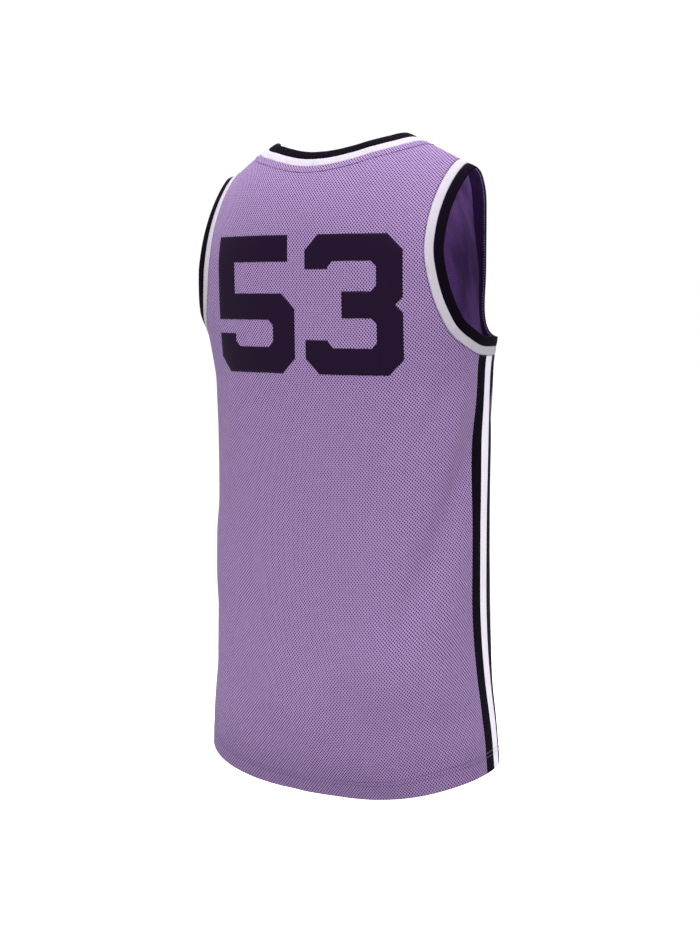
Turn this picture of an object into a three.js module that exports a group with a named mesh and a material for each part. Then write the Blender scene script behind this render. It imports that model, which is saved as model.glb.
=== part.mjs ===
import * as THREE from 'three';

// Basketball jersey, in the shape it has when worn, with nobody in it
// Millimetres, +Z up. The front faces -Y and the wearer's left side is +X.
// The origin is on the shoulder line, midway between the straps, at the height where they rest.

// Cloth and trim
const MESH_CLOTH = 1.2;
const HEM_CLOTH = 2.2;
const RIB_CLOTH = 1.8;
const SEAM_GAP = 0.3;
const HEM_DEPTH = 25;
const HEM_STEP = 3;
const NECK_RIB = { dark: 11.3, white: 11.3, leanBack: 0.12, leanFront: 0.12 };
const ARMHOLE_RIB = { dark: 11, white: 10, leanFront: 0.42 };
const ARMHOLE_LEAN_BACK = { left: -0.17, right: -0.03 };
const LEAN_CHANGES = [0.45, 0.95];

// Body shape: each ring is a rounded oblong about a middle line a little in front of the shoulders
const RING_SQUARENESS = 2.4;
const BODY_RINGS = [
  { height: -760, middle: -18, halfWidth: 186, back: 95.5, front: 133 },
  { height: -735, middle: -18, halfWidth: 183.6, back: 97.5, front: 132 },
  { height: -665, middle: -18, halfWidth: 177.8, back: 103, front: 128 },
  { height: -605, middle: -18, halfWidth: 171.6, back: 105, front: 123 },
  { height: -545, middle: -18, halfWidth: 168.9, back: 102.5, front: 118 },
  { height: -425, middle: -18, halfWidth: 167.4, back: 99, front: 118 },
  { height: -335, middle: -18, halfWidth: 166.9, back: 101.5, front: 125 },
  { height: -265, middle: -16, halfWidth: 168, back: 103.5, front: 131 },
  { height: -230, middle: -13, halfWidth: 171.5, back: 103, front: 130 },
  { height: -190, middle: -13, halfWidth: 181, back: 104, front: 128 },
  { height: -145, middle: -16, halfWidth: 188, back: 108, front: 123 },
  { height: -90, middle: -18, halfWidth: 191, back: 110, front: 118 },
];

// Shoulders: above its base, each column of cloth arches over to the shoulder line
const ARCH_BASE = -145;
const ARCH_BASE_RISE_BACK = 40;
const ARCH_BASE_DROP_FRONT = 25;
const RIDGE_RISE = 40;
const SHOULDER_COLUMNS = [
  { out: 0, ridge: 34, forward: 0, backRound: 0.75, frontRound: 0.85, frontHollow: 0.7 },
  { out: 60, ridge: 28.3, forward: 0, backRound: 0.7, frontRound: 0.85, frontHollow: 0.7 },
  { out: 92, ridge: 13.8, forward: 0, backRound: 0.64, frontRound: 0.8, frontHollow: 0.6 },
  { out: 120, ridge: -0.4, forward: 2.5, backRound: 0.74, frontRound: 0.74, frontHollow: 0.35 },
  { out: 147, ridge: -14.8, forward: 7, backRound: 0.84, frontRound: 0.68, frontHollow: 0.1 },
  { out: 180, ridge: -33, forward: 13, backRound: 0.84, frontRound: 0.6, frontHollow: 0 },
];

// The wearer's left shoulder hangs a little lower, from near the neck outward
const LEFT_SHOULDER_DROP = { from: 40, to: 100, depth: 3.5 };

// Hem: level at the sides, with a dropped tail behind and a smaller dip in front
const HEM_RISE = -706.5;
const HEM_DROP_BACK = 29;
const HEM_DROP_FRONT = 18;
const HEM_DROP_STARTS = -440;

// Seam where the armhole trim meets the body, from the shoulder down to the underarm
const ARMHOLE_BACK = [
  { out: 146.6, height: -14.6 },
  { out: 143, height: -30 },
  { out: 141, height: -55 },
  { out: 139.7, height: -88 },
  { out: 140.6, height: -121 },
  { out: 145.6, height: -152 },
  { out: 153.8, height: -183 },
  { out: 163, height: -207 },
];
const UNDERARM = [{ turn: 1.5, rise: -226 }, { turn: 1.75, rise: -229.5 }];
const ARMHOLE_FRONT = [
  { out: 146.6, height: -14.6 },
  { out: 139, height: -36 },
  { out: 128.5, height: -68 },
  { out: 121.5, height: -105 },
  { out: 119.5, height: -145 },
  { out: 121, height: -182 },
  { out: 129, height: -211 },
  { out: 147, height: -228 },
];

// Seam where the neck trim meets the body, from the shoulder to the centre line
const NECK_BACK = [
  { out: 108.5, height: 6.1 },
  { out: 95, height: 1.5 },
  { out: 77, height: -5.5 },
  { out: 58, height: -11.5 },
  { out: 38, height: -17 },
  { out: 18, height: -20.5 },
  { out: 0, height: -21.5 },
];
const NECK_FRONT = [
  { out: 108.5, height: 6.1 },
  { out: 105, height: -14 },
  { out: 98, height: -42 },
  { out: 83, height: -69 },
  { out: 62, height: -92 },
  { out: 33, height: -107 },
  { out: 0, height: -112 },
];

// Side stripes: distances from the side line, towards the front, of their four edges
const STRIPE_EDGES = [-13, 7, 27, 47];
const STRIPE_TOP_DRIFT = { from: -430, to: -260, forward: 8 };
const STRIPE_HEM_DRIFT = { from: -500, to: -680, forward: 16 };
const SIDE_RADIUS = 172;

// Largest folds: soft ridges (+) and troughs (-) along a line, in degrees round from the back
const FOLDS = [
  { fromTurn: -88, fromHeight: -300, toTurn: -60, toHeight: -515, width: 20, depth: -7 },
  { fromTurn: -34, fromHeight: -420, toTurn: -52, toHeight: -620, width: 34, depth: 2.5 },
  { fromTurn: 72, fromHeight: -420, toTurn: 66, toHeight: -520, width: 26, depth: 3 },
  { fromTurn: 50, fromHeight: -590, toTurn: 14, toHeight: -700, width: 34, depth: -3.5 },
  { fromTurn: -58, fromHeight: -585, toTurn: -16, toHeight: -572, width: 46, depth: 5 },
  { fromTurn: -76, fromHeight: -625, toTurn: -62, toHeight: -705, width: 34, depth: -6 },
  { fromTurn: 122, fromHeight: -290, toTurn: 148, toHeight: -470, width: 32, depth: -4 },
  { fromTurn: -128, fromHeight: -330, toTurn: -150, toHeight: -560, width: 34, depth: -3.5 },
  { fromTurn: 176, fromHeight: -450, toTurn: 150, toHeight: -690, width: 40, depth: 3 },
  { fromTurn: -170, fromHeight: -560, toTurn: -140, toHeight: -700, width: 34, depth: -3 },
  { fromTurn: -62, fromHeight: -762, toTurn: 56, toHeight: -762, width: 70, depth: -15 },
  { fromTurn: 130, fromHeight: -750, toTurn: 230, toHeight: -750, width: 54, depth: -10 },
];
const FOLD_RADIUS = 150;

// How finely the cloth is divided
const HALF_COLUMNS = 12;
const BODY_ROWS = 12;
const CHEST_ROWS = 8;
const STRAP_ROWS = 8;
const CHEST_START = -258;

const SIDES = [
  { name: 'left', sign: 1 },
  { name: 'right', sign: -1 },
];
const BACK = 1;
const FRONT = -1;
const QUARTER = Math.PI / 2;
const HALVINGS = 40;

const lavender = new THREE.MeshStandardMaterial({ color: 0x9a80ba, roughness: 0.85, metalness: 0 });
const darkRib = new THREE.MeshStandardMaterial({ color: 0x1c1528, roughness: 0.8, metalness: 0 });
const whiteRib = new THREE.MeshStandardMaterial({ color: 0xd6d3da, roughness: 0.8, metalness: 0 });

const between = (a, b, t) => a + (b - a) * t;

// Value of one column of a table, on a smooth curve through its rows
function readTable(rows, key, column, at) {
  const last = rows.length - 1;
  const ascending = rows[last][key] > rows[0][key];
  let i = 0;
  while (i < last - 1 && (ascending ? at > rows[i + 1][key] : at < rows[i + 1][key])) i += 1;
  const slope = (j) => {
    const before = rows[Math.max(j - 1, 0)];
    const after = rows[Math.min(j + 1, last)];
    return (after[column] - before[column]) / (after[key] - before[key]);
  };
  const span = rows[i + 1][key] - rows[i][key];
  const t = THREE.MathUtils.clamp((at - rows[i][key]) / span, 0, 1);
  const t2 = t * t;
  const t3 = t2 * t;
  return rows[i][column] * (2 * t3 - 3 * t2 + 1)
    + rows[i + 1][column] * (3 * t2 - 2 * t3)
    + slope(i) * span * (t3 - 2 * t2 + t)
    + slope(i + 1) * span * (t3 - t2);
}

// Height of the folds at a place on the body, as a bump along the ring's radius
function foldAt(turn, height) {
  let sum = 0;
  for (const fold of FOLDS) {
    const ax = THREE.MathUtils.degToRad(fold.fromTurn) * FOLD_RADIUS;
    const bx = THREE.MathUtils.degToRad(fold.toTurn) * FOLD_RADIUS;
    const px = THREE.MathUtils.euclideanModulo(turn * FOLD_RADIUS - (ax + bx) / 2
      + Math.PI * FOLD_RADIUS, 2 * Math.PI * FOLD_RADIUS) - Math.PI * FOLD_RADIUS;
    const line = new THREE.Vector2(bx - ax, fold.toHeight - fold.fromHeight);
    const offset = new THREE.Vector2(px, height - (fold.fromHeight + fold.toHeight) / 2);
    const along = offset.dot(line) / line.lengthSq() * 2;
    const across = offset.cross(line) / line.length() / fold.width;
    sum += fold.depth * Math.exp(-across * across) * Math.exp(-(along ** 4));
  }
  return sum;
}

// Radius of the body ring at a height, a rounded oblong without its folds
function ringRadius(turn, height) {
  const size = (name) => readTable(BODY_RINGS, 'height', name, height);
  const depth = size(Math.cos(turn) > 0 ? 'back' : 'front');
  return (Math.abs(Math.cos(turn) / depth) ** RING_SQUARENESS
    + Math.abs(Math.sin(turn) / size('halfWidth')) ** RING_SQUARENESS) ** (-1 / RING_SQUARENESS);
}

// Point on the body ring at a height. The turn is the angle from the centre back to the wearer's left.
function ringPoint(turn, height) {
  const radius = ringRadius(turn, height) + foldAt(turn, height);
  const y = readTable(BODY_RINGS, 'height', 'middle', height) + radius * Math.cos(turn);
  return new THREE.Vector3(radius * Math.sin(turn), y, height);
}

function archBase(turn) {
  const facing = Math.cos(turn);
  return ARCH_BASE + (facing > 0 ? ARCH_BASE_RISE_BACK : -ARCH_BASE_DROP_FRONT) * facing * facing;
}

// How far the tail pulls the cloth down: fully at the centre line, and not at all at the side
function hemDrop(turn, rise) {
  if (rise >= HEM_DROP_STARTS) return 0;
  const behind = Math.cos(turn) > 0;
  const depth = readTable(BODY_RINGS, 'height', behind ? 'back' : 'front', rise);
  const reach = Math.abs(ringRadius(turn, rise) * Math.cos(turn)) / depth;
  const share = THREE.MathUtils.smoothstep(HEM_DROP_STARTS - rise, 0, HEM_DROP_STARTS - HEM_RISE);
  return (behind ? HEM_DROP_BACK : HEM_DROP_FRONT) * reach ** RING_SQUARENESS * share;
}

// Height of the shoulder line at a signed distance from the centre plane
function ridgeHeight(x) {
  const { from, to, depth } = LEFT_SHOULDER_DROP;
  const level = readTable(SHOULDER_COLUMNS, 'out', 'ridge', Math.abs(x));
  return level - depth * THREE.MathUtils.smoothstep(x, from, to);
}

// Point on the worn cloth. The rise is the height below the arch, and runs on over the shoulder above it.
function wornPoint(turn, rise) {
  const base = archBase(turn);
  if (rise <= base) return ringPoint(turn, rise - hemDrop(turn, rise));
  const foot = ringPoint(turn, base);
  const behind = Math.cos(turn) > 0;
  const column = (name) => readTable(SHOULDER_COLUMNS, 'out', name, Math.abs(foot.x));
  const climb = Math.sin(Math.min((rise - base) / (RIDGE_RISE - base), 1) * QUARTER);
  const left = 1 - climb * climb;
  const hollow = behind ? 0 : column('frontHollow');
  const reach = left ** column(behind ? 'backRound' : 'frontRound') - hollow * climb * climb * left;
  const y = between(-column('forward'), foot.y, reach);
  return new THREE.Vector3(foot.x, y, between(base, ridgeHeight(foot.x), climb));
}

// Steps, in millimetres, for the slope of the cloth
const SLOPE_STEP = 1;
const RIDGE_SLOPE_STEP = 4;

const isOnRidge = (rise) => rise > RIDGE_RISE - SLOPE_STEP;

// Outward direction of the cloth. On the shoulder line it points straight up from the slope.
function wornNormal(turn, rise) {
  if (isOnRidge(rise)) {
    const out = ringPoint(turn, archBase(turn)).x;
    const fall = ridgeHeight(out - RIDGE_SLOPE_STEP) - ridgeHeight(out + RIDGE_SLOPE_STEP);
    return new THREE.Vector3(fall, 0, 2 * RIDGE_SLOPE_STEP).normalize();
  }
  const turnStep = SLOPE_STEP / FOLD_RADIUS;
  const across = wornPoint(turn + turnStep, rise).sub(wornPoint(turn - turnStep, rise));
  const top = Math.min(rise + SLOPE_STEP, RIDGE_RISE);
  const up = wornPoint(turn, top).sub(wornPoint(turn, rise - SLOPE_STEP));
  return up.cross(across).normalize();
}

// Place on the cloth of a point given by its distance from the centre plane and its height.
// Very near the shoulder line it goes onto the line itself.
const RIDGE_CLIMB = 0.995;

function placeOnCloth(out, height, face) {
  let low = face === BACK ? 0 : QUARTER;
  let high = face === BACK ? QUARTER : Math.PI;
  for (let i = 0; i < HALVINGS; i += 1) {
    const middle = (low + high) / 2;
    const tooWide = ringPoint(middle, Math.min(height, archBase(middle))).x > out;
    if (tooWide === (face === BACK)) high = middle;
    else low = middle;
  }
  const turn = (low + high) / 2;
  const base = archBase(turn);
  if (height <= base) return { turn, rise: height };
  const climb = (height - base) / (readTable(SHOULDER_COLUMNS, 'out', 'ridge', out) - base);
  const sweep = climb > RIDGE_CLIMB ? 1 : Math.asin(climb) / QUARTER;
  return { turn, rise: base + (RIDGE_RISE - base) * sweep };
}

// Smooth line on the flat map of the cloth through places given as turn and rise
function seamLine(places) {
  const points = places.map(({ turn, rise }) => new THREE.Vector3(turn * FOLD_RADIUS, rise, 0));
  const curve = new THREE.CatmullRomCurve3(points);
  return (u) => {
    const p = curve.getPoint(u);
    return { turn: p.x / FOLD_RADIUS, rise: p.y };
  };
}

const places = (rows, face) => rows.map(({ out, height }) => placeOnCloth(out, height, face));
const armholeSeam = seamLine([
  ...places(ARMHOLE_BACK, BACK),
  ...UNDERARM,
  ...places(ARMHOLE_FRONT, FRONT).reverse(),
]);
const neckSeam = {
  [BACK]: seamLine(places(NECK_BACK, BACK).reverse()),
  [FRONT]: seamLine(places(NECK_FRONT, FRONT).reverse()),
};

// Side line of a stripe edge, on the wearer's left
function stripeTurn(edge, rise) {
  const drift = [STRIPE_TOP_DRIFT, STRIPE_HEM_DRIFT].map(({ from, to, forward }) => {
    const share = THREE.MathUtils.clamp((rise - from) / (to - from), 0, 1);
    return forward * THREE.MathUtils.smoothstep(share, 0, 1);
  });
  return QUARTER + (STRIPE_EDGES[edge] + drift[0] + drift[1]) / SIDE_RADIUS;
}

// Where on the armhole seam a stripe edge ends
const STRIPE_TOP_RANGE = [0.2, 0.8];

function stripeTop(edge) {
  let [low, high] = STRIPE_TOP_RANGE;
  for (let i = 0; i < HALVINGS; i += 1) {
    const middle = (low + high) / 2;
    const { turn, rise } = armholeSeam(middle);
    if (turn > stripeTurn(edge, rise)) high = middle;
    else low = middle;
  }
  return (low + high) / 2;
}

const stripeTops = STRIPE_EDGES.map((_, edge) => stripeTop(edge));
const ARM_ROWS = CHEST_ROWS + STRAP_ROWS;

const blendPlaces = (a, b, t) => ({
  turn: between(a.turn, b.turn, t),
  rise: between(a.rise, b.rise, t),
});

// Stations along the armhole seam, from the back of the shoulder round under the arm to its front
function armholeStations() {
  const stations = [];
  for (let i = 0; i < ARM_ROWS; i += 1) stations.push(between(0, stripeTops[0], i / ARM_ROWS));
  for (let edge = 0; edge < 3; edge += 1) {
    stations.push(stripeTops[edge]);
    stations.push(between(stripeTops[edge], stripeTops[edge + 1], 0.5));
  }
  for (let i = 0; i <= ARM_ROWS; i += 1) stations.push(between(stripeTops[3], 1, i / ARM_ROWS));
  return stations.map(armholeSeam);
}

// Point of cloth on one side of the body, with the folds of that side. A panel stops short of the
// shoulder seam by half its gap.
function clothPoint({ turn, rise }, sign, shoulderGap = 0) {
  const position = wornPoint(turn * sign, rise);
  const normal = wornNormal(turn * sign, rise);
  if (isOnRidge(rise)) position.y += Math.sign(Math.cos(turn)) * shoulderGap;
  return { position, normal };
}

// Closed wall from a sheet of four-sided cells: the sheet, a second one behind it, and all its edges
function sewnWall(points, cells, thickness) {
  const count = points.length;
  const inner = points.map((p, i) => p.position.clone().addScaledVector(p.normal, -thickness(i)));
  const vertices = [...points.map((p) => p.position), ...inner].flatMap((v) => v.toArray());
  const at = (i) => (i < count ? points[i].position : inner[i - count]);
  const faces = [];
  const addCell = (a, b, c, d) => {
    const splitAC = at(a).distanceToSquared(at(c)) <= at(b).distanceToSquared(at(d));
    faces.push(...(splitAC ? [a, b, c, a, c, d] : [a, b, d, b, c, d]));
  };
  const edges = new Set();
  for (const [a, b, c, d] of cells) {
    addCell(a, b, c, d);
    addCell(a + count, d + count, c + count, b + count);
    for (const [from, to] of [[a, b], [b, c], [c, d], [d, a]]) edges.add(`${from} ${to}`);
  }
  for (const edge of edges) {
    const [from, to] = edge.split(' ').map(Number);
    if (!edges.has(`${to} ${from}`)) addCell(from, from + count, to + count, to);
  }
  const geometry = new THREE.BufferGeometry();
  geometry.setAttribute('position', new THREE.Float32BufferAttribute(vertices, 3));
  geometry.setIndex(faces);
  geometry.computeVertexNormals();
  return geometry;
}

// Collects points and cells, and turns a mirrored cell the right way round
class Sheet {
  constructor() {
    this.points = [];
    this.rises = [];
    this.cells = [];
  }

  add(place, sign) {
    this.points.push(clothPoint(place, sign, SEAM_GAP / 2));
    this.rises.push(place.rise);
    return this.points.length - 1;
  }

  cell(corners, sign) {
    this.cells.push(sign > 0 ? corners : [...corners].reverse());
  }

  geometry() {
    const hemTop = HEM_RISE + HEM_DEPTH + HEM_STEP / 2;
    return sewnWall(this.points, this.cells, (i) => (this.rises[i] < hemTop ? HEM_CLOTH : MESH_CLOTH));
  }
}

// Heights of the rows between the hem and the level of the underarm
function bodyRises(top) {
  const hemRows = [HEM_RISE, HEM_RISE + HEM_DEPTH, HEM_RISE + HEM_DEPTH + HEM_STEP];
  const rises = [...hemRows];
  for (let i = 1; i <= BODY_ROWS; i += 1) rises.push(between(hemRows[2], top, i / BODY_ROWS));
  return rises;
}

const halfGapTurn = SEAM_GAP / 2 / SIDE_RADIUS;

// Rows of a front or back panel on the wearer's left, each from its inner to its outer end
function panelRows(face) {
  const centreTurn = face === BACK ? 0 : Math.PI;
  const edge = face === BACK ? 0 : 3;
  const seamTop = face === BACK ? stripeTops[0] : stripeTops[3];
  const shoulder = face === BACK ? 0 : 1;
  const sideTurn = (rise) => stripeTurn(edge, rise) - face * halfGapTurn;
  const underarm = armholeSeam(seamTop);
  const rows = [];
  const innerRises = bodyRises(CHEST_START);
  bodyRises(underarm.rise).forEach((rise, i) => {
    rows.push({
      inner: { turn: centreTurn, rise: innerRises[i] },
      outer: { turn: sideTurn(rise), rise },
      joined: true,
    });
  });
  const centreNeck = neckSeam[face](0);
  for (let i = 1; i <= ARM_ROWS; i += 1) {
    const onNeck = i > CHEST_ROWS;
    const chestShare = Math.min(i / CHEST_ROWS, 1);
    const strapShare = Math.max(i - CHEST_ROWS, 0) / STRAP_ROWS;
    const inner = onNeck
      ? neckSeam[face](strapShare)
      : { turn: centreTurn, rise: between(CHEST_START, centreNeck.rise, chestShare) };
    rows.push({
      inner,
      outer: armholeSeam(between(seamTop, shoulder, i / ARM_ROWS)),
      joined: !onNeck,
    });
  }
  return rows;
}

function panelGeometry(face) {
  const sheet = new Sheet();
  const rows = panelRows(face);
  const centre = rows.map(({ inner, joined }) => (joined ? sheet.add(inner, 1) : null));
  for (const { sign } of SIDES) {
    const grid = rows.map(({ inner, outer }, r) => {
      const line = [];
      for (let c = 0; c <= HALF_COLUMNS; c += 1) {
        const shared = c === 0 && centre[r] !== null;
        line.push(shared ? centre[r] : sheet.add(blendPlaces(inner, outer, c / HALF_COLUMNS), sign));
      }
      return line;
    });
    for (let r = 0; r + 1 < grid.length; r += 1) {
      for (let c = 0; c < HALF_COLUMNS; c += 1) {
        const corners = [grid[r][c], grid[r + 1][c], grid[r + 1][c + 1], grid[r][c + 1]];
        sheet.cell(corners, face * sign);
      }
    }
  }
  return sheet.geometry();
}

function stripeGeometry(edge, sign) {
  const sheet = new Sheet();
  const tops = [0, 0.5, 1].map((t) => armholeSeam(between(stripeTops[edge], stripeTops[edge + 1], t)));
  const grid = tops.map((top, c) => bodyRises(top.rise).map((rise) => {
    const turn = between(
      stripeTurn(edge, rise) + halfGapTurn,
      stripeTurn(edge + 1, rise) - halfGapTurn,
      c / 2,
    );
    return sheet.add({ turn, rise }, sign);
  }));
  for (let c = 0; c < 2; c += 1) {
    for (let r = 0; r + 1 < grid[c].length; r += 1) {
      sheet.cell([grid[c][r], grid[c][r + 1], grid[c + 1][r + 1], grid[c + 1][r]], sign);
    }
  }
  return sheet.geometry();
}

// Closed ring of rib knit beside a seam, from one distance to another into the opening.
// Its lean towards the body changes from the back to the front. The edge beside the seam is square
// to the body cloth, so that it stays clear of it.
function ribGeometry(seam, from, to, rib) {
  const count = seam.length;
  const next = (i) => (i + 1) % count;
  const last = (i) => (i + count - 1) % count;
  const inwards = seam.map(({ normal }, i) => {
    const along = seam[next(i)].position.clone().sub(seam[last(i)].position);
    return along.cross(normal).normalize();
  });
  const points = [];
  seam.forEach(({ position, normal }, i) => {
    const across = inwards[i].clone().multiplyScalar(2).add(inwards[next(i)]).add(inwards[last(i)]);
    across.addScaledVector(normal, -across.dot(normal)).normalize();
    const lean = between(rib.leanBack, rib.leanFront, THREE.MathUtils.smoothstep(-normal.y, ...LEAN_CHANGES));
    const direction = across.clone().addScaledVector(normal, -lean).normalize();
    const facing = normal.clone().addScaledVector(across, lean).normalize();
    for (const distance of [from, to]) {
      const spot = position.clone().addScaledVector(direction, distance);
      points.push({ position: spot, normal: distance > SEAM_GAP ? facing : normal });
    }
  });
  const cells = seam.map((_, i) => {
    const a = 2 * i;
    const b = 2 * next(i);
    return [a, a + 1, b + 1, b];
  });
  return sewnWall(points, cells, () => RIB_CLOTH);
}

// Points of the armhole seam in order, so that the opening lies on the same hand for both sides
function armholeLoop(sign) {
  const stations = armholeStations();
  stations.pop();
  const loop = stations.map((place) => clothPoint(place, sign));
  return sign > 0 ? loop : loop.reverse();
}

function neckLoop() {
  const quarter = (face) => {
    const line = [];
    for (let i = 0; i <= STRAP_ROWS; i += 1) line.push(neckSeam[face](i / STRAP_ROWS));
    return line;
  };
  const back = quarter(BACK);
  const front = quarter(FRONT);
  const left = [...back, ...front.slice(0, -1).reverse()];
  const right = left.slice(1, -1).reverse();
  return [
    ...left.map((place) => clothPoint(place, 1)),
    ...right.map((place) => clothPoint(place, -1)),
  ];
}

const jersey = new THREE.Group();

function addPiece(name, geometry, material) {
  const piece = new THREE.Mesh(geometry, material);
  piece.name = name;
  jersey.add(piece);
}

function addRibPair(name, ending, loop, rib) {
  const whiteEnd = SEAM_GAP + rib.white;
  const darkStart = whiteEnd + SEAM_GAP;
  addPiece(`${name}_white${ending}`, ribGeometry(loop, SEAM_GAP, whiteEnd, rib), whiteRib);
  const darkEnd = darkStart + rib.dark;
  addPiece(`${name}_dark${ending}`, ribGeometry(loop, darkStart, darkEnd, rib), darkRib);
}

const STRIPES = [
  { name: 'side_stripe_dark_back', material: darkRib },
  { name: 'side_stripe_white', material: whiteRib },
  { name: 'side_stripe_dark_front', material: darkRib },
];

addPiece('back_panel', panelGeometry(BACK), lavender);
addPiece('front_panel', panelGeometry(FRONT), lavender);
addRibPair('neck_rib', '', neckLoop(), NECK_RIB);
for (const { name, sign } of SIDES) {
  const rib = { ...ARMHOLE_RIB, leanBack: ARMHOLE_LEAN_BACK[name] };
  addRibPair('armhole_rib', `_${name}`, armholeLoop(sign), rib);
  STRIPES.forEach((stripe, edge) => {
    addPiece(`${stripe.name}_${name}`, stripeGeometry(edge, sign), stripe.material);
  });
}

export default jersey;
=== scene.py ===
# %% [markdown]
# # A basketball jersey in its worn shape
#
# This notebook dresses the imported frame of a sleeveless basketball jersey. The frame gives every
# piece that a maker cuts and sews: a back and a front of mesh, three stripes down each side, and
# two bands of knit round the neck and each armhole. Here each of them gets its fine cloth form,
# its stitches and its finish. Everything is in metres, +Z up; the front faces -Y and the
# wearer's left is +X.

# %% Load the frame
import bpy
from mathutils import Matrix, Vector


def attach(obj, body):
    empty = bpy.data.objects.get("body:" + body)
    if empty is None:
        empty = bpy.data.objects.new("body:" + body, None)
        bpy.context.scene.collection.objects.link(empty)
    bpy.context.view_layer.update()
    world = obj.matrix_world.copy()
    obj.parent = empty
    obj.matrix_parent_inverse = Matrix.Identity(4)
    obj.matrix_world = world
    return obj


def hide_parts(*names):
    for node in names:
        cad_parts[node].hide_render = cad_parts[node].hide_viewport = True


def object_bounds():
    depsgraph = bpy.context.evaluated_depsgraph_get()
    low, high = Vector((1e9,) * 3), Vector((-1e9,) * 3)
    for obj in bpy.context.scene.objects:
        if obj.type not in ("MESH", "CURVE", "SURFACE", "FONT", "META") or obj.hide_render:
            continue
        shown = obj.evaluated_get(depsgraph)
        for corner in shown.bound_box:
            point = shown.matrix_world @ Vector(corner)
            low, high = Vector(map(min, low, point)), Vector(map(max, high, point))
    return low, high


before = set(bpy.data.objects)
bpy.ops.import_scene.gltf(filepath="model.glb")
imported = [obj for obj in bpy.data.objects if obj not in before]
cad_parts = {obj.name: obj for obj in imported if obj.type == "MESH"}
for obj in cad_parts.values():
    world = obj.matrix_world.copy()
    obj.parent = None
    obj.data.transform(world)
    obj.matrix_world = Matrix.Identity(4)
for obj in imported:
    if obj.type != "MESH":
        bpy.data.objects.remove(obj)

frame_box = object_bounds()
print("frame box", [[round(x, 4) for x in corner] for corner in frame_box])

# %% Tools for the whole notebook
import math

import bmesh
import bpy
import numpy as np
from mathutils import Vector

MM = 0.001
BACK, FRONT = 1, -1
SIDES = {"left": 1, "right": -1}


def add_object(name, data):
    thing = bpy.data.objects.new(name, data)
    bpy.context.collection.objects.link(thing)
    return thing


# %% [markdown]
# ## The camera first
#
# The photo shows the jersey from behind and from the wearer's right, from a little above its
# middle. A long lens keeps the sides nearly parallel. The camera's place, the way it looks and
# its lens were fitted to the photo's outline, and are given here in the frame's own metres.

# %% Camera at the photo's angle
CAMERA_PLACE = Vector((-0.89965, 1.50025, -0.1622))
CAMERA_LOOKS = Vector((0.50657, -0.85474, -0.11314))
CAMERA_LENS = 58.26

camera = add_object("camera", bpy.data.cameras.new("camera"))
camera.location = CAMERA_PLACE
camera.rotation_euler = CAMERA_LOOKS.to_track_quat("-Z", "Y").to_euler()
camera.data.lens = CAMERA_LENS
bpy.context.scene.camera = camera
print("camera is", round(CAMERA_PLACE.length, 3), "m from the shoulder line's middle")

# %% [markdown]
# ## The worn cloth as one surface
#
# Sewn cloth on a body could be sculpted, or draped by simulation over a figure. Here the form is
# already fixed by the frame, so the same few measures build it again, only more finely. A
# measure table has a row for each ring round the body or each column over the shoulder, and a
# smooth curve runs through its rows. Lengths in the tables are millimetres.

# %% Measure tables
def measures(columns, *rows):
    """A table of named columns."""
    return dict(zip(columns.split(), np.array(rows, float).T))


def measure(rows, key, column, at):
    """Value of one column, on a smooth curve through the table's rows."""
    x, y = rows[key], rows[column]
    slope = np.gradient(y, x)
    slope[1:-1] = (y[2:] - y[:-2]) / (x[2:] - x[:-2])
    i = np.clip(np.searchsorted(x, at) - 1, 0, len(x) - 2)
    span = x[i + 1] - x[i]
    t = np.clip((at - x[i]) / span, 0, 1)
    t2, t3 = t * t, t * t * t
    return (y[i] * (2 * t3 - 3 * t2 + 1) + y[i + 1] * (3 * t2 - 2 * t3)
            + slope[i] * span * (t3 - 2 * t2 + t) + slope[i + 1] * span * (t3 - t2))


BODY_RINGS = measures(
    "height middle half_width back front",
    (-760, -18, 186, 95.5, 133),
    (-735, -18, 183.6, 97.5, 132),
    (-665, -18, 177.8, 103, 128),
    (-605, -18, 171.6, 105, 123),
    (-545, -18, 168.9, 102.5, 118),
    (-425, -18, 167.4, 99, 118),
    (-335, -18, 166.9, 101.5, 125),
    (-265, -16, 168, 103.5, 131),
    (-230, -13, 171.5, 103, 130),
    (-190, -13, 181, 104, 128),
    (-145, -16, 188, 108, 123),
    (-90, -18, 191, 110, 118),
)
SHOULDER_COLUMNS = measures(
    "out ridge forward back_round front_round front_hollow",
    (0, 34, 0, 0.75, 0.85, 0.7),
    (60, 28.3, 0, 0.7, 0.85, 0.7),
    (92, 13.8, 0, 0.64, 0.8, 0.6),
    (120, -0.4, 2.5, 0.74, 0.74, 0.35),
    (147, -14.8, 7, 0.84, 0.68, 0.1),
    (180, -33, 13, 0.84, 0.6, 0),
)
RING_SQUARENESS = 2.4
FOLD_RADIUS = 150


def ring_measure(column, height):
    return measure(BODY_RINGS, "height", column, height)


def shoulder_measure(column, out):
    return measure(SHOULDER_COLUMNS, "out", column, out)


print("rings", len(BODY_RINGS["height"]), "shoulder columns", len(SHOULDER_COLUMNS["out"]))
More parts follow.
